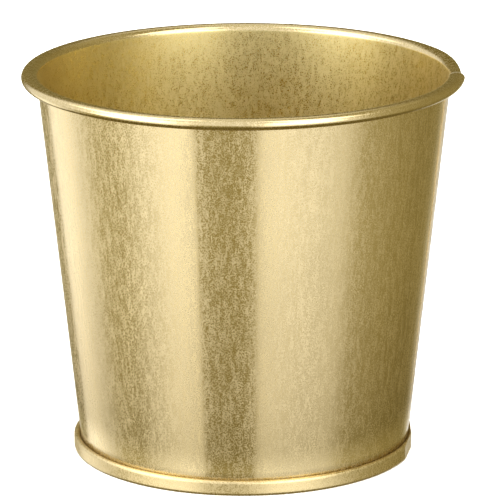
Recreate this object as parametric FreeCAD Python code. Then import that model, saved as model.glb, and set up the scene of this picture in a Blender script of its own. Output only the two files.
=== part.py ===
"""Tapered round pot of brass-coloured sheet metal, open at the top.

Three pieces: a rolled body sheet with a lap seam up its side and a curled rim, a pressed base plate
that is double-seamed onto it, and the bead of sealing compound that the double seam squeezes shut.
Millimetres. +Z is up, the origin is the middle of the ring that the pot stands on, and the side
seam is on the +X side.
"""

import FreeCAD
import Part

import math
import os

# Driving dimensions
HEIGHT = 90.0  # from the standing ring to the top of the rim
RIM_DIAMETER = 101.9  # across the outside of the curled rim
SHEET = 0.45  # thickness of both sheets
WALL_TOP_RADIUS = 47.45  # outside of the straight wall, carried up to the middle of the curl
RING_DIAMETER = 79.9  # across the outside of the base seam
RING_HEIGHT = 3.5  # of the base seam
RING_CORNER = 0.7  # corners under the base seam
FLOOR_HEIGHT = 4.3  # top of the floor where it meets the wall
LAYER_GAP = 0.03  # between layers that are folded over each other

# The hooks of the base seam
POCKET_HEIGHT = 0.6  # from the tip of the body's hook up to the middle of the fold above it
COVER_CLEARANCE = 0.15  # from the tip of the plate's hook down to the start of the fold below it
COMPOUND_GAP = 0.02  # between the compound and the sheets around it

# The floor, and the panel in it that is raised by a bend up and a bend back
FLOOR_BEND = 0.9
PANEL_RADIUS = 29.0
PANEL_BEND = 1.2
PANEL_TURN = 40.0

# The oval curl: radii of its bends, and the headings at which one passes into the next. A heading
# of 0 is up and 90 is outward.
CURL_HALF_HEIGHT = 1.3
INNER_BEND = 1.5
OUTER_BEND = 1.25
UNDER_BEND = 2.0
LAST_BEND = 1.2
SHOULDER, BROW, CHIN, TUCK, FREE_EDGE = 65.0, 110.0, 250.0, 290.0, 330.0

# The side seam. Angles are from +X. The lower layer's curl covers the upper layer's at the rim.
SEAM_EDGE = -13.0  # cut edge of the outer layer on the wall
RIM_EDGE = -6.0  # cut edge of the inner layer, which is the outer one at the rim
EASE_START = -1.0  # the outer layer is full size again from EASE_START to EASE_END
EASE_END = 24.0
EASE_SECTIONS = 9
SEAM_STEP = 0.4  # how far the outer layer stands proud under the rim; it runs out to 0 at the base
LAP_STEP = 0.1  # how far the inner layer stands proud inside
LAP_FOOT = 6.0  # the inner layer is notched below this, clear of the base seam
TUCKED_BEND = 0.79  # outer bend of the curl that is tucked inside the other
TUCKED_INSET = 0.85  # how much less it sticks out
TUCKED_SHARE = 0.65  # its last bends, as a share of the other's

# The base seam is crushed solid where it crosses the side seam. Three flats are left there, each a
# direction from +X and a distance from the axis.
CRUSHED_ANGLE = 23.0
FLATS = [(0.0, 39.0), (10.5, 39.15), (-10.5, 39.15)]
NOTCH_ANGLE = 24.0  # the body sheet has no hook inside this angle

# The folded layers of the base seam, from the outside in, each a sheet and a gap thick
PITCH = SHEET + LAYER_GAP
RING_RADIUS = RING_DIAMETER / 2
HOOK_OUTSIDE = RING_RADIUS - PITCH
COVER_INSIDE = RING_RADIUS - 2 * PITCH - SHEET
WALL_OUTSIDE = RING_RADIUS - 3 * PITCH
CHUCK_INSIDE = RING_RADIUS - 4 * PITCH - SHEET
FOLD_RADIUS = PITCH + SHEET / 2
FOLD_HEIGHT = RING_HEIGHT - FOLD_RADIUS  # middle of the base plate's fold
HOOK_FOLD_HEIGHT = SHEET + LAYER_GAP + FOLD_RADIUS  # middle of the body sheet's fold
HOOK_TOP = FOLD_HEIGHT - POCKET_HEIGHT
COVER_BOTTOM = HOOK_FOLD_HEIGHT + COVER_CLEARANCE

# The wall is upright through the base seam and tapered above it
TAPER_START = 3.7
TAPER_BEND = 6.0
WALL_INSIDE = WALL_OUTSIDE - SHEET
CURL_MIDDLE = HEIGHT - CURL_HALF_HEIGHT
TAPER = math.atan2(WALL_TOP_RADIUS - WALL_OUTSIDE, CURL_MIDDLE - TAPER_START)

AXIS = FreeCAD.Vector(0, 0, 1)
ORIGIN = FreeCAD.Vector(0, 0, 0)


def path_edges(start, heading, steps, offset=0.0):
    """Edges of a path of runs and bends, moved offset to its right. start is (radius, height). A step
    is ("run", length) or ("bend", radius, degrees to the right)."""
    along = math.radians(heading)
    radius = start[0] + offset * math.cos(along)
    height = start[1] - offset * math.sin(along)
    edges = []
    for step in steps:
        here = FreeCAD.Vector(radius, 0, height)
        if step[0] == "run":
            radius += step[1] * math.sin(along)
            height += step[1] * math.cos(along)
            edges.append(Part.LineSegment(here, FreeCAD.Vector(radius, 0, height)).toShape())
            continue
        turn = math.radians(step[2])
        side = math.copysign(step[1], turn) - offset
        middle = FreeCAD.Vector(radius + side * math.cos(along), 0, height - side * math.sin(along))
        points = [
            middle + FreeCAD.Vector(-side * math.cos(angle), 0, side * math.sin(angle))
            for angle in (along + turn / 2, along + turn)
        ]
        edges.append(Part.Arc(here, *points).toShape())
        along += turn
        radius, height = points[1].x, points[1].z
    return edges


def closed_outline(near, far):
    """Outline of a sheet between the edges of its near face and those of its far face."""
    first = Part.LineSegment(far[0].firstVertex().Point, near[0].firstVertex().Point).toShape()
    last = Part.LineSegment(near[-1].lastVertex().Point, far[-1].lastVertex().Point).toShape()
    return Part.Wire([first, *near, last, *reversed(far)])


def turned(outline, first, last):
    """Solid swept by an outline in the XZ plane between two angles about the Z axis."""
    face = Part.Face(outline)
    face.rotate(ORIGIN, AXIS, first)
    return face.revolve(ORIGIN, AXIS, last - first)


def wall_steps(share, top_step, wall_shift):
    """Steps from the foot of the wall's taper to the free edge of the curl. share is 0 for the plain
    rim and 1 for the end that is tucked into the other one's curl. top_step moves the top of the wall
    outward, and wall_shift the whole of it inward."""
    lean = math.atan(math.tan(TAPER) + top_step / (CURL_MIDDLE - TAPER_START))
    outer_bend = OUTER_BEND + share * (TUCKED_BEND - OUTER_BEND)
    inner_bend = INNER_BEND + wall_shift
    reach = RIM_DIAMETER / 2 - share * TUCKED_INSET
    top = HEIGHT - share * PITCH
    shoulder, brow = math.radians(SHOULDER), math.radians(BROW)
    foot_radius = WALL_INSIDE - wall_shift + TAPER_BEND * (1 - math.cos(lean))
    foot_height = TAPER_START + TAPER_BEND * math.sin(lean)
    # the bend over the top is the one that makes the curl reach its full width
    inner_rise = inner_bend * (math.sin(shoulder) - math.sin(lean))
    across = inner_bend * (math.cos(lean) - math.cos(shoulder)) + outer_bend * (1 + math.cos(brow))
    left = reach - across - foot_radius - (top - inner_rise - foot_height) * math.tan(lean)
    spread = math.cos(shoulder) - math.cos(brow) - (1 - math.sin(shoulder)) * math.tan(lean)
    top_bend = left / spread
    run_rise = top - top_bend * (1 - math.sin(shoulder)) - inner_rise - foot_height
    small = 1 - share * (1 - TUCKED_SHARE)
    degrees = math.degrees(lean)
    return [
        ("bend", TAPER_BEND, degrees),
        ("run", run_rise / math.cos(lean)),
        ("bend", inner_bend, SHOULDER - degrees),
        ("bend", top_bend, BROW - SHOULDER),
        ("bend", outer_bend, CHIN - BROW),
        ("bend", UNDER_BEND * small, TUCK - CHIN),
        ("bend", LAST_BEND * small, FREE_EDGE - TUCK),
    ]


def body_outline(hook, share=0.0, inner_step=0.0, outer_step=0.0, wall_shift=0.0):
    """Section of the body sheet, with or without the hook that the base seam holds. inner_step and
    outer_step are how far the tops of its two faces stand outward."""
    if hook:
        start, heading = (HOOK_OUTSIDE, HOOK_TOP), 180.0
        foot = [
            ("run", HOOK_TOP - HOOK_FOLD_HEIGHT),
            ("bend", FOLD_RADIUS, 180.0),
            ("run", TAPER_START - HOOK_FOLD_HEIGHT),
        ]
    else:
        start, heading = (WALL_INSIDE - wall_shift, HOOK_FOLD_HEIGHT), 0.0
        foot = [("run", TAPER_START - HOOK_FOLD_HEIGHT)]
    near = path_edges(start, heading, foot + wall_steps(share, inner_step, wall_shift))
    far = path_edges(start, heading, foot + wall_steps(share, outer_step, wall_shift), SHEET)
    return closed_outline(near, far)


def make_body_sheet():
    """Rolled sheet, overlapped and welded along the side seam. Under the rim the outer layer stands
    a little proud; at the rim its curl is tucked into the curl of the inner layer."""
    plain = turned(body_outline(True), EASE_END, 360.0 - NOTCH_ANGLE)
    notched = turned(body_outline(False), -NOTCH_ANGLE, SEAM_EDGE)
    lap = turned(body_outline(False, 1.0, 0.0, SEAM_STEP), SEAM_EDGE, RIM_EDGE)
    outer_layer = turned(body_outline(False, 1.0, SEAM_STEP, SEAM_STEP), RIM_EDGE, EASE_START)
    sections = []
    for number in range(EASE_SECTIONS):
        part_way = number / (EASE_SECTIONS - 1)
        share = (1 + math.cos(math.pi * part_way)) / 2
        outline = body_outline(False, share, SEAM_STEP * share, SEAM_STEP * share)
        outline.rotate(ORIGIN, AXIS, EASE_START + (EASE_END - EASE_START) * part_way)
        sections.append(outline)
    easing = Part.makeLoft(sections, True, False)
    inner_layer = turned(body_outline(False, wall_shift=LAP_STEP), SEAM_EDGE, RIM_EDGE)
    base_end = Part.makeCylinder(HEIGHT, LAP_FOOT)
    return plain.fuse([notched, lap, outer_layer, easing, inner_layer.cut(base_end)])


def make_base_plate():
    """Pressed plate. From the hook's tip it goes up, over and down the outside, under the seam, up
    the inside of the wall and across the floor, which is raised a little in the middle."""
    panel_slope = math.sin(math.radians(PANEL_TURN)) * (2 * PANEL_BEND + SHEET)
    start = (COVER_INSIDE, COVER_BOTTOM)
    steps = [
        ("run", FOLD_HEIGHT - COVER_BOTTOM),
        ("bend", FOLD_RADIUS, 180.0),
        ("run", FOLD_HEIGHT - RING_CORNER),
        ("bend", RING_CORNER, 90.0),
        ("run", RING_RADIUS - CHUCK_INSIDE - 2 * RING_CORNER),
        ("bend", RING_CORNER, 90.0),
        ("run", FLOOR_HEIGHT - SHEET - RING_CORNER - FLOOR_BEND),
        ("bend", FLOOR_BEND, -90.0),
        ("run", CHUCK_INSIDE - FLOOR_BEND - PANEL_RADIUS),
        ("bend", PANEL_BEND, PANEL_TURN),
        ("bend", PANEL_BEND + SHEET, -PANEL_TURN),
        ("run", PANEL_RADIUS - panel_slope),
    ]
    outline = closed_outline(path_edges(start, 0.0, steps), path_edges(start, 0.0, steps, SHEET))
    plate = turned(outline, 0.0, 360.0).fuse(make_crushed_seam())
    for direction, distance in FLATS:
        corner = FreeCAD.Vector(distance, -RING_RADIUS, -HEIGHT / 2)
        beyond = Part.makeBox(RING_RADIUS, RING_DIAMETER, HEIGHT, corner)
        beyond.rotate(ORIGIN, AXIS, direction)
        plate = plate.cut(beyond)
    return plate


def make_crushed_seam():
    """The part of the base seam that is pressed solid: an oblong section, turned through its angle."""
    start = (COVER_INSIDE, RING_CORNER)
    steps = [("run", FOLD_HEIGHT - RING_CORNER), ("bend", FOLD_RADIUS, 180.0)] * 2
    return turned(Part.Wire(path_edges(start, 0.0, steps)), -CRUSHED_ANGLE, CRUSHED_ANGLE)


def make_seam_compound():
    """Bead of compound in the pocket between the tip of the body hook and the fold over it."""
    inner = HOOK_OUTSIDE - PITCH + COMPOUND_GAP
    outer = HOOK_OUTSIDE + LAYER_GAP - COMPOUND_GAP
    bottom = HOOK_TOP + COMPOUND_GAP
    corners = [(inner, bottom), (inner, FOLD_HEIGHT), (outer, FOLD_HEIGHT), (outer, bottom)]
    outline = Part.makePolygon([FreeCAD.Vector(r, 0, z) for r, z in [*corners, corners[0]]])
    return turned(outline, NOTCH_ANGLE, 360.0 - NOTCH_ANGLE)


def main():
    os.makedirs("parts", exist_ok=True)
    pieces = {
        "body_sheet": make_body_sheet(),
        "base_plate": make_base_plate(),
        "seam_compound": make_seam_compound(),
    }
    for name, piece in pieces.items():
        piece.exportStep(f"parts/{name}.step")
        print(f"{name}: {len(piece.Solids)} solid, valid {piece.isValid()}, {piece.Volume:.1f} mm3")


main()
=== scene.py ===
# %% [markdown]
# A sheet-metal pot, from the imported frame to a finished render.
#
# The pot is two sheets: a rolled body with a curled rim and a lapped side seam, and a base plate
# folded on around the bottom. Everything that can be seen is thin metal, so the whole lesson is
# about two things: drawing a folded section and turning it, and giving the metal something to
# reflect.

import math

import bmesh
import bpy
from mathutils import Matrix, Vector


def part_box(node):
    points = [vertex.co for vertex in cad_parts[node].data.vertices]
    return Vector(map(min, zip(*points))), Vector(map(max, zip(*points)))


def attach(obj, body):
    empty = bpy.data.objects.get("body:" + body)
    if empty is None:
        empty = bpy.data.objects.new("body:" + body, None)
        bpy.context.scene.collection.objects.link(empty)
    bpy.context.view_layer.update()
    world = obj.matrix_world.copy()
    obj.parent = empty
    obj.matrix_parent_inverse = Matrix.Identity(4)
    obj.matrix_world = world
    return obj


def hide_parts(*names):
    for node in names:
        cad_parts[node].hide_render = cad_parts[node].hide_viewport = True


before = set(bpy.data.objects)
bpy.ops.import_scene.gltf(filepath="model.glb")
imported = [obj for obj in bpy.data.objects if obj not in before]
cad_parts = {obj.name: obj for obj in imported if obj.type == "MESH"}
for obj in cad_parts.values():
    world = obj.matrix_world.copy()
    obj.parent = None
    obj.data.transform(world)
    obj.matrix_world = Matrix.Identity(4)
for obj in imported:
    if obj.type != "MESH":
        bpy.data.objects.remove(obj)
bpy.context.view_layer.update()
MM = 0.001
print("nodes:", sorted(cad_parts))

# %% [markdown]
# The camera comes first, because the studio is arranged around it. A long lens from about a metre
# away, looking down a little, keeps the pot's sides nearly parallel.

# %% Camera
CAMERA_PLACE = Vector((-6.7, -932.0, 302.1)) * MM
CAMERA_DOWN = 15.32
CAMERA_RIGHT = 0.373
CAMERA_ROLL = -0.235
LENS = 299.7
SENSOR = 36.0
FARTHEST_SEEN = 100.0

camera = bpy.data.objects.new("camera", bpy.data.cameras.new("camera"))
camera.data.lens = LENS
camera.data.sensor_width = SENSOR
camera.data.clip_end = FARTHEST_SEEN
bpy.context.scene.collection.objects.link(camera)
camera.matrix_world = (
    Matrix.Translation(CAMERA_PLACE)
    @ Matrix.Rotation(math.radians(-CAMERA_RIGHT), 4, "Z")
    @ Matrix.Rotation(math.radians(90.0 - CAMERA_DOWN), 4, "X")
    @ Matrix.Rotation(math.radians(CAMERA_ROLL), 4, "Z")
)
bpy.context.scene.camera = camera
bpy.context.scene.view_settings.view_transform = "Standard"
print("camera lens", camera.data.lens, "mm")

# %% [markdown]
# Three small helpers serve every material: one turns a colour as a painter would write it into the
# linear light that the renderer counts in, one adds a node with its settings and its links, and one
# fills a colour ramp.

# %% Helpers for colours and nodes
def linear(hex_colour):
    """An sRGB colour written as #RRGGBB, in linear light with an alpha of 1."""
    values = [int(hex_colour[i : i + 2], 16) / 255 for i in (1, 3, 5)]
    bent = [v / 12.92 if v <= 0.04045 else ((v + 0.055) / 1.055) ** 2.4 for v in values]
    return (*bent, 1.0)


def add(tree, kind, links=None, **settings):
    """A node of that kind. links maps an input to the output that feeds it, or to a plain value."""
    node = tree.nodes.new(kind)
    for name, value in settings.items():
        setattr(node, name, value)
    for socket, value in (links or {}).items():
        if isinstance(value, bpy.types.NodeSocket):
            tree.links.new(value, node.inputs[socket])
        else:
            node.inputs[socket].default_value = value
    return node


def fill_ramp(ramp, stops):
    """Puts a list of (place, colour) into a colour ramp."""
    elements = ramp.color_ramp.elements
    while len(elements) > 1:
        elements.remove(elements[-1])
    for index, (place, colour) in enumerate(stops):
        element = elements[0] if index == 0 else elements.new(place)
        element.position = place
        element.color = colour


print("linear white:", linear("#FFFFFF"))

# %% [markdown]
# Polished metal shows its surroundings, so the studio is drawn all round the pot as bands of
# brightness, the way tall softboxes and the dark gaps between them would stand. The lowest row of
# bands lies below the horizon: that is what the wall mirrors, because it leans outward and is seen
# from above. The next row stands about the horizon, and the top row hangs over the pot; the brightest
# parts of these two are softboxes to the left and right, which the rim mirrors. A compass heading of
# 0 is where the camera stands, and positive is to the right. Surroundings dimmer than 1 are also
# warmer, so a level becomes a colour by raising it to a power for green and a larger one for blue.

# %% Studio surroundings
LOW_BANDS = [
    (-180, 0.95), (-168, 0.80), (-164, 0.32), (-146, 0.30), (-142, 1.40), (-128, 1.50),
    (-112, 1.00), (-96, 0.56), (-80, 0.53), (-62, 0.92), (-45, 1.36), (-30, 1.46),
    (-28, 0.46), (-4, 0.40), (6, 0.50), (10, 1.28), (22, 1.20), (45, 0.98),
    (60, 0.92), (74, 0.50), (105, 0.34), (130, 0.27), (148, 0.28), (156, 0.60),
    (163, 1.10), (180, 0.95),
]
HIGH_BANDS = [
    (-180, 0.22), (-152, 0.26), (-140, 1.00), (-100, 1.00), (-84, 1.20), (-76, 3.20),
    (-42, 3.40), (-34, 1.40), (-22, 1.00), (2, 1.00), (10, 1.20), (16, 3.20),
    (45, 3.20), (53, 1.20), (66, 0.55), (95, 0.38), (140, 0.30), (180, 0.22),
]
TOP_BANDS = [
    (-180, 0.85), (-122, 1.05), (-110, 3.00), (-62, 3.00), (-50, 0.98), (20, 0.98),
    (32, 3.00), (66, 3.00), (78, 0.56), (104, 0.44), (129, 0.46), (158, 0.38),
    (170, 0.85), (180, 0.85),
]
GREEN_POWER = 1.14
BLUE_POWER = 1.85
UNDER_LEVEL = 0.22
ZENITH_LEVEL = 0.85
RAMP_TOP = 4.0
# Each row begins to show at the first height and has taken over at the second, where -1 is straight
# down and 1 straight up.
ROWS = [
    (-0.64, -0.52, LOW_BANDS),
    (-0.29, -0.15, HIGH_BANDS),
    (0.50, 0.66, TOP_BANDS),
    (0.96, 0.99, [(0, ZENITH_LEVEL)]),
]


def level_colour(level):
    """The colour of surroundings of that brightness, as a share of RAMP_TOP."""
    return (
        level / RAMP_TOP,
        min(level**GREEN_POWER, level) / RAMP_TOP,
        min(level**BLUE_POWER, level) / RAMP_TOP,
        1.0,
    )


world = bpy.data.worlds.new("studio")
bpy.context.scene.world = world
world.use_nodes = True
sky = world.node_tree
sky.nodes.clear()
direction = add(sky, "ShaderNodeTexCoord").outputs["Generated"]
parts = add(sky, "ShaderNodeSeparateXYZ", {"Vector": direction})
towards = add(sky, "ShaderNodeMath", {0: parts.outputs["Y"], 1: -1.0}, operation="MULTIPLY")
bearing = add(
    sky, "ShaderNodeMath", {0: parts.outputs["X"], 1: towards.outputs[0]}, operation="ARCTAN2"
)
around = add(
    sky,
    "ShaderNodeMapRange",
    {"Value": bearing.outputs[0], "From Min": -math.pi, "From Max": math.pi},
)
surroundings = level_colour(UNDER_LEVEL)
for begins, complete, bands in ROWS:
    ramp = add(sky, "ShaderNodeValToRGB", {"Fac": around.outputs["Result"]})
    fill_ramp(ramp, [((heading + 180) / 360, level_colour(level)) for heading, level in bands])
    share = add(
        sky,
        "ShaderNodeMapRange",
        {"Value": parts.outputs["Z"], "From Min": begins, "From Max": complete},
        interpolation_type="SMOOTHSTEP",
    )
    mixed = add(
        sky,
        "ShaderNodeMix",
        {0: share.outputs["Result"], 6: surroundings, 7: ramp.outputs["Color"]},
        data_type="RGBA",
    )
    surroundings = mixed.outputs[2]
mirrored = add(sky, "ShaderNodeBackground", {"Color": surroundings, "Strength": RAMP_TOP})
backdrop = add(sky, "ShaderNodeBackground", {"Color": linear("#FFFFFF"), "Strength": 1.0})
seen = add(sky, "ShaderNodeLightPath").outputs["Is Camera Ray"]
both = add(sky, "ShaderNodeMixShader", {0: seen, 1: mirrored.outputs[0], 2: backdrop.outputs[0]})
add(sky, "ShaderNodeOutputWorld", {"Surface": both.outputs[0]})
print("rows of bands, from below to above:", [len(bands) for _, _, bands in ROWS])

# %% [markdown]
# The floor is a plain pale sheet. It takes a soft shadow from one large light overhead. A mirror
# would show it as one even white, so in the metal's reflections it is clear instead, and the bands
# above show through it. It only dims them near the pot, where the wall mirrors the pot's own soft
# shadow: the nearer to the foot, the darker. Right under the ring the paper is lit again.

# %% Floor and overhead light
FLOOR_SIZE = 12.0
OVERHEAD_SIZE = 1.6
OVERHEAD_HEIGHT = 1.5
OVERHEAD_WATTS = 60.0
SHADOW_REACH = 0.17
SHADOW_STOPS = [
    (0.0, "#FFFFFF"),
    (0.28, "#FFFFFF"),
    (0.33, "#D3D1CC"),
    (0.5, "#E4E2DF"),
    (1.0, "#FFFFFF"),
]

shape = bmesh.new()
bmesh.ops.create_grid(shape, x_segments=1, y_segments=1, size=FLOOR_SIZE / 2)
floor = bpy.data.objects.new("floor", bpy.data.meshes.new("floor"))
shape.to_mesh(floor.data)
shape.free()
bpy.context.scene.collection.objects.link(floor)

paper = bpy.data.materials.new("white_paper_sweep")
paper.use_nodes = True
sheet = paper.node_tree
sheet.nodes["Principled BSDF"].inputs["Base Color"].default_value = linear("#F6F5F2")
sheet.nodes["Principled BSDF"].inputs["Roughness"].default_value = 0.9
here = add(sheet, "ShaderNodeTexCoord").outputs["Object"]
away = add(sheet, "ShaderNodeVectorMath", {0: here}, operation="LENGTH").outputs["Value"]
reach = add(sheet, "ShaderNodeMapRange", {"Value": away, "From Min": 0.0, "From Max": SHADOW_REACH})
dimming = add(sheet, "ShaderNodeValToRGB", {"Fac": reach.outputs["Result"]})
fill_ramp(dimming, [(place, linear(colour)) for place, colour in SHADOW_STOPS])
clear = add(sheet, "ShaderNodeBsdfTransparent", {"Color": dimming.outputs["Color"]})
glossy = add(sheet, "ShaderNodeLightPath").outputs["Is Glossy Ray"]
paper_shader = sheet.nodes["Principled BSDF"].outputs[0]
either = add(sheet, "ShaderNodeMixShader", {0: glossy, 1: paper_shader, 2: clear.outputs[0]})
sheet.links.new(either.outputs[0], sheet.nodes["Material Output"].inputs["Surface"])
floor.data.materials.append(paper)

overhead = bpy.data.objects.new("overhead_light", bpy.data.lights.new("overhead_light", "AREA"))
overhead.data.size = OVERHEAD_SIZE
overhead.data.energy = OVERHEAD_WATTS
overhead.location = (0, 0, OVERHEAD_HEIGHT)
overhead.visible_glossy = False
bpy.context.scene.collection.objects.link(overhead)
print("floor", FLOOR_SIZE, "m across, shadow fades over", SHADOW_REACH, "m")

# %% [markdown]
# The finish is sheet brass with a thin clear lacquer, and what makes it look like sheet and not like
# jewellery is its grain. Grains a few tenths of a millimetre across are either bright and mirror the
# studio sharply, or satin and mix in light from all round. In a bright reflection the two look
# alike; in a dark one the satin grains stand out light and the bright ones go almost black, so the
# dark bands are speckled. Rolling draws the grain out into short streaks up the wall. The inside is
# hazier than the outside, the dies that rolled the rim have burnished it, and the pressed base is
# duller. The inside's tones are also darker than the outside's: painted shade for the dim inside of
# the pot. At the foot of the wall, in the fold above the ring, the tone is darkened too: painted
# shade in the fold.

# %% Lacquered brass
GRAIN_MM = 0.27
STREAK_MM = 0.9
STREAK_SHARE = 0.40
CLOUD_MM = 6.0
WORN_TONE = 0.94
BUMP_STRENGTH = 0.06
BUMP_MM = 0.02


def grained_brass(name, bright, satin, bright_tone, satin_tone, stretch, spread=0.08, painted_crease_shade=None):
    """Lacquered brass sheet. bright and satin are the roughnesses of its two kinds of grain, each
    with its tone. stretch is how many times longer its streaks are up the wall than across, spread
    how softly one kind of grain turns into the other, and painted_crease_shade the painted shade at
    the foot of the wall: the height in mm up to which it is full, the height from which there is
    none, and the share of the tone that it leaves."""
    material = bpy.data.materials.new(name)
    material.use_nodes = True
    tree = material.node_tree
    metal = tree.nodes["Principled BSDF"]
    metal.inputs["Metallic"].default_value = 1.0
    place = add(tree, "ShaderNodeTexCoord").outputs["Object"]
    drawn = add(tree, "ShaderNodeMapping", {"Vector": place, "Scale": (1, 1, 1 / stretch)}).outputs[0]
    grain = add(
        tree,
        "ShaderNodeTexNoise",
        {"Vector": place, "Scale": 1 / (GRAIN_MM * MM), "Detail": 2.0, "Roughness": 0.7},
    ).outputs["Fac"]
    streaks = add(
        tree,
        "ShaderNodeTexNoise",
        {"Vector": drawn, "Scale": 1 / (STREAK_MM * MM), "Detail": 2.0, "Roughness": 0.6},
    ).outputs["Fac"]
    clouds = add(
        tree, "ShaderNodeTexNoise", {"Vector": drawn, "Scale": 1 / (CLOUD_MM * MM), "Detail": 3.0}
    ).outputs["Fac"]
    pattern = add(
        tree, "ShaderNodeMath", {0: streaks, 1: STREAK_SHARE, 2: grain}, operation="MULTIPLY_ADD"
    )
    # Both noises vary about a half, so their sum varies about this.
    middle = 0.5 + 0.5 * STREAK_SHARE
    roughness = add(
        tree,
        "ShaderNodeMapRange",
        {
            "Value": pattern.outputs[0],
            "From Min": middle - spread,
            "From Max": middle + spread,
            "To Min": bright,
            "To Max": satin,
        },
    )
    tree.links.new(roughness.outputs["Result"], metal.inputs["Roughness"])
    tone = add(tree, "ShaderNodeValToRGB", {"Fac": roughness.outputs["Result"]})
    fill_ramp(tone, [(bright, linear(bright_tone)), (satin, linear(satin_tone))])
    wear_and_shade = add(
        tree,
        "ShaderNodeMapRange",
        {"Value": clouds, "From Min": 0.3, "From Max": 0.7, "To Min": WORN_TONE},
    ).outputs["Result"]
    # Painted shade: the tone darkens towards the foot of the wall, in the fold above the ring.
    if painted_crease_shade:
        fully_shaded_to, unshaded_from, tone_left_in_shade = painted_crease_shade
        height = add(tree, "ShaderNodeSeparateXYZ", {"Vector": place}).outputs["Z"]
        crease_shading = add(
            tree,
            "ShaderNodeMapRange",
            {
                "Value": height,
                "From Min": fully_shaded_to * MM,
                "From Max": unshaded_from * MM,
                "To Min": tone_left_in_shade,
            },
        )
        wear_and_shade = add(
            tree, "ShaderNodeMath", {0: wear_and_shade, 1: crease_shading.outputs["Result"]}, operation="MULTIPLY"
        ).outputs[0]
    toned = add(
        tree, "ShaderNodeVectorMath", {0: tone.outputs["Color"], "Scale": wear_and_shade}, operation="SCALE"
    )
    tree.links.new(toned.outputs["Vector"], metal.inputs["Base Color"])
    bump = add(
        tree,
        "ShaderNodeBump",
        {"Height": grain, "Strength": BUMP_STRENGTH, "Distance": BUMP_MM * MM},
    )
    tree.links.new(bump.outputs["Normal"], metal.inputs["Normal"])
    return material


wall_brass = grained_brass(
    "lacquered_rolled_brass",
    bright=0.07,
    satin=0.42,
    bright_tone="#E0CB97",
    satin_tone="#F6E2B2",
    stretch=5.0,
    # painted shade in the fold above the ring, full at 3.6 mm and gone at 5.2 mm
    painted_crease_shade=(3.6, 5.2, 0.6),
)
# The inside's tones are darker than the outside's: painted shade for the dim inside of the pot. Its
# haze is its roughness.
inner_brass_shaded = grained_brass(
    "hazy_brass_inside_painted_shade",
    bright=0.22,
    satin=0.48,
    bright_tone="#CDBC81",
    satin_tone="#DDCC92",
    stretch=2.5,
    spread=0.13,
)
curl_brass = grained_brass(
    "burnished_brass_curl",
    bright=0.08,
    satin=0.28,
    bright_tone="#E0CB97",
    satin_tone="#ECD8A8",
    stretch=1.5,
)
base_brass = grained_brass(
    "lacquered_pressed_brass",
    bright=0.26,
    satin=0.46,
    bright_tone="#E1CC98",
    satin_tone="#E9D5A4",
    stretch=1.5,
)
print("materials:", wall_brass.name, inner_brass_shaded.name, curl_brass.name, base_brass.name)

# %% [markdown]
# A sheared edge is bare metal: the lacquer stops at it, and the shear leaves it torn, dull and a
# little paler than the face.

# %% Sheared edge
TEAR_MM = 0.15

sheared = bpy.data.materials.new("sheared_bare_edge")
sheared.use_nodes = True
tree = sheared.node_tree
place = add(tree, "ShaderNodeTexCoord").outputs["Object"]
tears = add(
    tree, "ShaderNodeTexNoise", {"Vector": place, "Scale": 1 / (TEAR_MM * MM), "Detail": 2.0}
)
tone = add(tree, "ShaderNodeValToRGB", {"Fac": tears.outputs["Fac"]})
fill_ramp(tone, [(0.3, linear("#DDD0B2")), (0.7, linear("#F0E8D4"))])
tree.links.new(tone.outputs["Color"], tree.nodes["Principled BSDF"].inputs["Base Color"])
tree.nodes["Principled BSDF"].inputs["Metallic"].default_value = 1.0
tree.nodes["Principled BSDF"].inputs["Roughness"].default_value = 0.65
print("material:", sheared.name)

# %% [markdown]
# A folded sheet is drawn the way it is folded: start at one edge and walk along the section in runs
# and bends. In bmesh a run extrudes the last vertex, and a bend spins it about the bend's middle.
# The walk draws one face of the sheet; its thickness comes later, to the right of the way walked.

# %% Drawing a section
BEND_STEP = 6.0


def walk(shape, start, heading, steps):
    """Draws a chain of vertices in the XZ plane and returns them. A heading of 0 is up and 90 is
    outward; a step is ("run", length, pieces) or ("bend", radius, degrees to the right)."""
    last = shape.verts.new((start[0] * MM, 0, start[1] * MM))
    chain = [last]
    for kind, size, amount in steps:
        along = math.radians(heading)
        if kind == "run":
            for _ in range(amount):
                last = bmesh.ops.extrude_vert_indiv(shape, verts=[last])["verts"][0]
                last.co += Vector((math.sin(along), 0, math.cos(along))) * (size / amount) * MM
                chain.append(last)
            continue
        side = math.copysign(size, amount)
        middle = last.co + Vector((math.cos(along), 0, -math.sin(along))) * side * MM
        count = max(2, round(abs(amount) / BEND_STEP))
        step = math.radians(amount / count)
        for _ in range(count):
            swept = bmesh.ops.spin(
                shape, geom=[last], cent=middle, axis=(0, 1, 0), angle=step, steps=1
            )
            last = swept["geom_last"][0]
            chain.append(last)
        heading += amount
    return chain


# %% [markdown]
# A drawn chain becomes a surface by spinning it about the pot's axis. Where the section changes on
# its way round, as at the lap of the side seam, one chain is drawn for each place and the chains are
# bridged one to the next. The surface then gets its thickness and its four materials: for the
# outside, for the inside, for the curl, and for the edges that were sheared. The last of these also
# covers the last sliver of the curl before the cut edge of the lap: a burr, and a painted highlight.

# %% Turning sections into surfaces
TURN_STEP = 1.5
AROUND = Vector((0, 0, 1))
SHEET = 0.45
MERGE_MM = 0.0005
SHARP_ANGLE = 1.5 * BEND_STEP
OUTSIDE, INSIDE, CURL, SHEARED = range(4)
INWARD_LIMIT = -0.5
CURL_HEIGHT = 88.7
CURL_RADIUS = 47.8
RIM_EDGE = -6.0
# Width in degrees of the pale strip before the rim's cut edge: a burr, and a painted highlight along
# the edge.
BURR_AND_HIGHLIGHT = 0.4


def chain_edges(shape, chain):
    return [shape.edges.get(pair) for pair in zip(chain, chain[1:])]


def turn_to(shape, chain, degrees):
    bmesh.ops.rotate(shape, verts=chain, matrix=Matrix.Rotation(math.radians(degrees), 3, "Z"))


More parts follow.
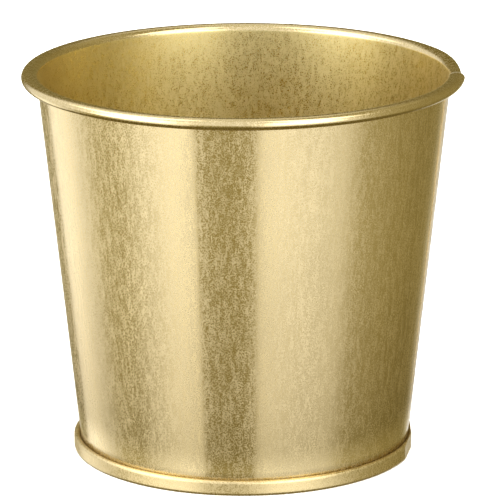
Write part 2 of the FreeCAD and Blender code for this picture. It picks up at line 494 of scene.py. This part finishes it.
def spin_between(shape, chain, first, last):
    """Surface swept by a chain from one angle to another."""
    turn_to(shape, chain, first)
    bmesh.ops.spin(
        shape,
        geom=chain + chain_edges(shape, chain),
        cent=(0, 0, 0),
        axis=AROUND,
        angle=math.radians(last - first),
        steps=max(1, round((last - first) / TURN_STEP)),
    )


def bridge_chains(shape, chains):
    """Surface through chains that are already turned to their places."""
    for one, next_one in zip(chains, chains[1:]):
        edges = chain_edges(shape, one) + chain_edges(shape, next_one)
        bmesh.ops.bridge_loops(shape, edges=edges)


def finish_sheet(shape, name, outer, inner):
    """Merges the surface, lets its widest place look outward, thickens it and makes it a piece. The
    side that faces the axis gets the inner material, and the sheared edges get their own. So does
    the curl, which is whatever lies above CURL_HEIGHT or outside CURL_RADIUS."""
    bmesh.ops.remove_doubles(shape, verts=shape.verts, dist=MERGE_MM * MM)
    bmesh.ops.recalc_face_normals(shape, faces=shape.faces)
    widest = max(shape.faces, key=lambda face: face.calc_center_median().xy.length)
    if widest.normal.dot(widest.calc_center_median()) < 0:
        bmesh.ops.reverse_faces(shape, faces=shape.faces)
    drawn = set(shape.verts)
    bmesh.ops.solidify(shape, geom=shape.faces, thickness=SHEET * MM)
    shape.normal_update()
    for face in shape.faces:
        middle = face.calc_center_median() / MM
        angle = math.degrees(math.atan2(middle.y, middle.x))
        if len({corner in drawn for corner in face.verts}) == 2:
            face.material_index = SHEARED
        elif middle.z > CURL_HEIGHT or middle.xy.length > CURL_RADIUS:
            # The strip before the rim's cut edge is pale: a burr, and a painted highlight along the
            # edge.
            face.material_index = SHEARED if RIM_EDGE - BURR_AND_HIGHLIGHT < angle < RIM_EDGE else CURL
        else:
            inward = face.normal.xy.dot(middle.xy.normalized()) < INWARD_LIMIT
            face.material_index = INSIDE if inward else OUTSIDE
    mesh = bpy.data.meshes.new(name)
    shape.to_mesh(mesh)
    shape.free()
    mesh.shade_smooth()
    mesh.set_sharp_from_angle(angle=math.radians(SHARP_ANGLE))
    piece = bpy.data.objects.new(name, mesh)
    bpy.context.scene.collection.objects.link(piece)
    for material in (outer, inner, curl_brass, sheared):
        mesh.materials.append(material)
    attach(piece, "root")
    size = [round(side / MM, 2) for side in piece.dimensions]
    print(name, len(mesh.polygons), "faces,", size, "mm")
    return piece


# %% [markdown]
# The sizes come from the frame where it has them: the height, the rim and the base ring. The rest
# are the sheet's own: its thickness, the gap between folded layers, and the bends of the curl.

# %% Sizes of the sheet work
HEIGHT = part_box("body_sheet")[1].z / MM
RIM_RADIUS = -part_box("body_sheet")[0].x / MM
RING_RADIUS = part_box("base_plate")[1].y / MM
GAP = 0.03
PITCH = SHEET + GAP
RING_HEIGHT = 3.5
RING_CORNER = 0.7
FLOOR_HEIGHT = 4.3
TAPER_START = 3.7
TAPER_BEND = 6.0
WALL_TOP_RADIUS = 47.45
CURL_HALF_HEIGHT = 1.3
HOOK_CLEARANCE = 0.6
COVER_CLEARANCE = 0.15
END_RUN = 0.5
FOLD_RADIUS = PITCH + SHEET / 2
FOLD_HEIGHT = RING_HEIGHT - FOLD_RADIUS
HOOK_FOLD_HEIGHT = PITCH + FOLD_RADIUS
HOOK_TOP = FOLD_HEIGHT - HOOK_CLEARANCE
COVER_BOTTOM = HOOK_FOLD_HEIGHT + COVER_CLEARANCE
WALL_INSIDE = RING_RADIUS - 3 * PITCH - SHEET
CHUCK_INSIDE = RING_RADIUS - 4 * PITCH - SHEET
print("height", round(HEIGHT, 2), "rim", round(RIM_RADIUS, 2), "ring", round(RING_RADIUS, 2))

# %% [markdown]
# The curl is an oval, wider than it is tall, because it was rolled outward over a tapered wall. It is
# drawn as bends of different radii that meet smoothly. The end that is tucked into the other one's
# curl is the same walk with a smaller outer bend, a lower top and less reach. The top bend takes
# whatever reach the other bends leave to it.

# %% Section of the body sheet
SHOULDER, BROW, CHIN, TUCK, FREE_EDGE = 65.0, 110.0, 250.0, 290.0, 330.0
INNER_BEND, OUTER_BEND, UNDER_BEND, LAST_BEND = 1.5, 1.25, 2.0, 1.2
TUCKED_BEND = 0.79
TUCKED_INSET = 0.85
TUCKED_SHARE = 0.65
SEAM_STEP = 0.4
WALL_PIECES = 24
CURL_MIDDLE = HEIGHT - CURL_HALF_HEIGHT
TAPER = (WALL_TOP_RADIUS - SHEET - WALL_INSIDE) / (CURL_MIDDLE - TAPER_START)


def body_chain(shape, hooked, share):
    """Inner face of the body sheet. share is 0 for the plain rim and 1 for the tucked end."""
    lean = math.atan(TAPER + share * SEAM_STEP / (CURL_MIDDLE - TAPER_START))
    outer_bend = OUTER_BEND + share * (TUCKED_BEND - OUTER_BEND)
    top = HEIGHT - share * PITCH
    reach = RIM_RADIUS - share * TUCKED_INSET
    shoulder, brow = math.radians(SHOULDER), math.radians(BROW)
    foot_radius = WALL_INSIDE + TAPER_BEND * (1 - math.cos(lean))
    foot_height = TAPER_START + TAPER_BEND * math.sin(lean)
    rise = INNER_BEND * (math.sin(shoulder) - math.sin(lean))
    across = INNER_BEND * (math.cos(lean) - math.cos(shoulder)) + outer_bend * (1 + math.cos(brow))
    left = reach - across - foot_radius - (top - rise - foot_height) * math.tan(lean)
    spread = math.cos(shoulder) - math.cos(brow) - (1 - math.sin(shoulder)) * math.tan(lean)
    top_bend = left / spread
    run = (top - top_bend * (1 - math.sin(shoulder)) - rise - foot_height) / math.cos(lean)
    small = 1 - share * (1 - TUCKED_SHARE)
    if hooked:
        start, heading = (RING_RADIUS - PITCH, HOOK_TOP), 180.0
        hook = [("run", HOOK_TOP - HOOK_FOLD_HEIGHT, 2), ("bend", FOLD_RADIUS, 180.0)]
    else:
        start, heading = (WALL_INSIDE, HOOK_FOLD_HEIGHT), 0.0
        hook = []
    return walk(
        shape,
        start,
        heading,
        hook
        + [
            ("run", TAPER_START - HOOK_FOLD_HEIGHT, 3),
            ("bend", TAPER_BEND, math.degrees(lean)),
            ("run", END_RUN, 1),
            ("run", run - 2 * END_RUN, WALL_PIECES),
            ("run", END_RUN, 1),
            ("bend", INNER_BEND, SHOULDER - math.degrees(lean)),
            ("bend", top_bend, BROW - SHOULDER),
            ("bend", outer_bend, CHIN - BROW),
            ("bend", UNDER_BEND * small, TUCK - CHIN),
            ("bend", LAST_BEND * small, FREE_EDGE - TUCK),
        ],
    )


# %% [markdown]
# One sheet goes all the way round and a little further. From the camera's side it keeps its full
# curl up to its cut edge; its other end narrows its curl, stands proud on the wall, and runs inside
# the first one's curl to its own cut edge. The last sliver of the full curl before its cut edge is a
# strip of its own, so that it can have the pale sheared material: partly the thin bare burr that the
# shear has left, partly a painted highlight along the edge. The base seam has no hook where the
# layers cross.

# %% Body sheet
SEAM_EDGE = -13.0
EASE_START, EASE_END = -1.0, 24.0
EASE_SECTIONS = 16
NOTCH_ANGLE = 24.0

shape = bmesh.new()
hooked = body_chain(shape, True, 0.0)
plain = body_chain(shape, False, 0.0)
tucked = body_chain(shape, False, 1.0)
eased = []
for section in range(EASE_SECTIONS + 1):
    part_way = section / EASE_SECTIONS
    chain = body_chain(shape, False, (1 + math.cos(math.pi * part_way)) / 2)
    turn_to(shape, chain, EASE_START + part_way * (EASE_END - EASE_START))
    eased.append(chain)
bridge_chains(shape, eased)
spin_between(shape, tucked, SEAM_EDGE, EASE_START)
spin_between(shape, plain, -NOTCH_ANGLE, RIM_EDGE - BURR_AND_HIGHLIGHT)
spin_between(shape, body_chain(shape, False, 0.0), RIM_EDGE - BURR_AND_HIGHLIGHT, RIM_EDGE)
spin_between(shape, hooked, EASE_END, 360.0 - NOTCH_ANGLE)
body = finish_sheet(shape, "rolled_body", wall_brass, inner_brass_shaded)
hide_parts("body_sheet")

# %% [markdown]
# The base plate is walked the same way, from the tip of its cover hook over the body's hook, down
# the outside, under the seam, up inside the wall and across the floor to the axis. Where it crosses
# the side seam the ring is crushed to three flats, each a direction and a distance from the axis:
# what stands outside a flat is cut away and the hole is filled. The sheet is thickened after that,
# so whatever then stands out of a flat is pressed back to just behind it.

# %% Base plate
FLATS = [(0.0, 39.0), (10.5, 39.15), (-10.5, 39.15)]
FLOOR_BEND, PANEL_BEND, PANEL_TURN, PANEL_RADIUS = 0.9, 1.2, 40.0, 29.0
PANEL_SLOPE = math.sin(math.radians(PANEL_TURN)) * (2 * PANEL_BEND + SHEET)
PANEL_PIECES = 12
PRESS_TOLERANCE = 0.001
PRESS_DEPTH = 0.02

shape = bmesh.new()
chain = walk(
    shape,
    (RING_RADIUS - 2 * PITCH - SHEET, COVER_BOTTOM),
    0.0,
    [
        ("run", FOLD_HEIGHT - COVER_BOTTOM, 2),
        ("bend", FOLD_RADIUS, 180.0),
        ("run", FOLD_HEIGHT - RING_CORNER, 4),
        ("bend", RING_CORNER, 90.0),
        ("run", RING_RADIUS - CHUCK_INSIDE - 2 * RING_CORNER, 2),
        ("bend", RING_CORNER, 90.0),
        ("run", FLOOR_HEIGHT - SHEET - RING_CORNER - FLOOR_BEND, 3),
        ("bend", FLOOR_BEND, -90.0),
        ("run", CHUCK_INSIDE - FLOOR_BEND - PANEL_RADIUS, 6),
        ("bend", PANEL_BEND, PANEL_TURN),
        ("bend", PANEL_BEND + SHEET, -PANEL_TURN),
        ("run", PANEL_RADIUS - PANEL_SLOPE - END_RUN, PANEL_PIECES),
        ("run", END_RUN, 1),
    ],
)
spin_between(shape, chain, 0.0, 360.0)
bmesh.ops.remove_doubles(shape, verts=shape.verts, dist=MERGE_MM * MM)
flats = []
for direction, distance in FLATS:
    turn = Matrix.Rotation(math.radians(direction), 3, "Z")
    flats.append((turn @ Vector((1, 0, 0)), distance))
for outward, distance in flats:
    pressed = bmesh.ops.bisect_plane(
        shape,
        geom=list(shape.verts) + list(shape.edges) + list(shape.faces),
        plane_co=outward * distance * MM,
        plane_no=outward,
        clear_outer=True,
    )
    border = [edge for edge in pressed["geom_cut"] if isinstance(edge, bmesh.types.BMEdge)]
    bmesh.ops.edgeloop_fill(shape, edges=border)
base = finish_sheet(shape, "pressed_base", base_brass, base_brass)
for outward, distance in flats:
    for corner in base.data.vertices:
        excess = corner.co.dot(outward) - distance * MM
        if excess > PRESS_TOLERANCE * MM:
            corner.co -= outward * (excess + PRESS_DEPTH * MM)
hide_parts("base_plate")

# %% [markdown]
# The bead of sealing compound stays as the frame has it: nobody sees it inside the seam. It only
# gets its own material, a dull grey rubber.

# %% Seam compound
SPECK_MM = 0.3

compound = bpy.data.materials.new("sealing_compound_rubber")
compound.use_nodes = True
tree = compound.node_tree
place = add(tree, "ShaderNodeTexCoord").outputs["Object"]
specks = add(tree, "ShaderNodeTexNoise", {"Vector": place, "Scale": 1 / (SPECK_MM * MM)})
tone = add(tree, "ShaderNodeValToRGB", {"Fac": specks.outputs["Fac"]})
fill_ramp(tone, [(0.3, linear("#2E2E2C")), (0.7, linear("#4A4A46"))])
tree.links.new(tone.outputs["Color"], tree.nodes["Principled BSDF"].inputs["Base Color"])
tree.nodes["Principled BSDF"].inputs["Roughness"].default_value = 0.85
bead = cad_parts["seam_compound"]
bead.data.materials.clear()
bead.data.materials.append(compound)
print("bead:", bead.name)
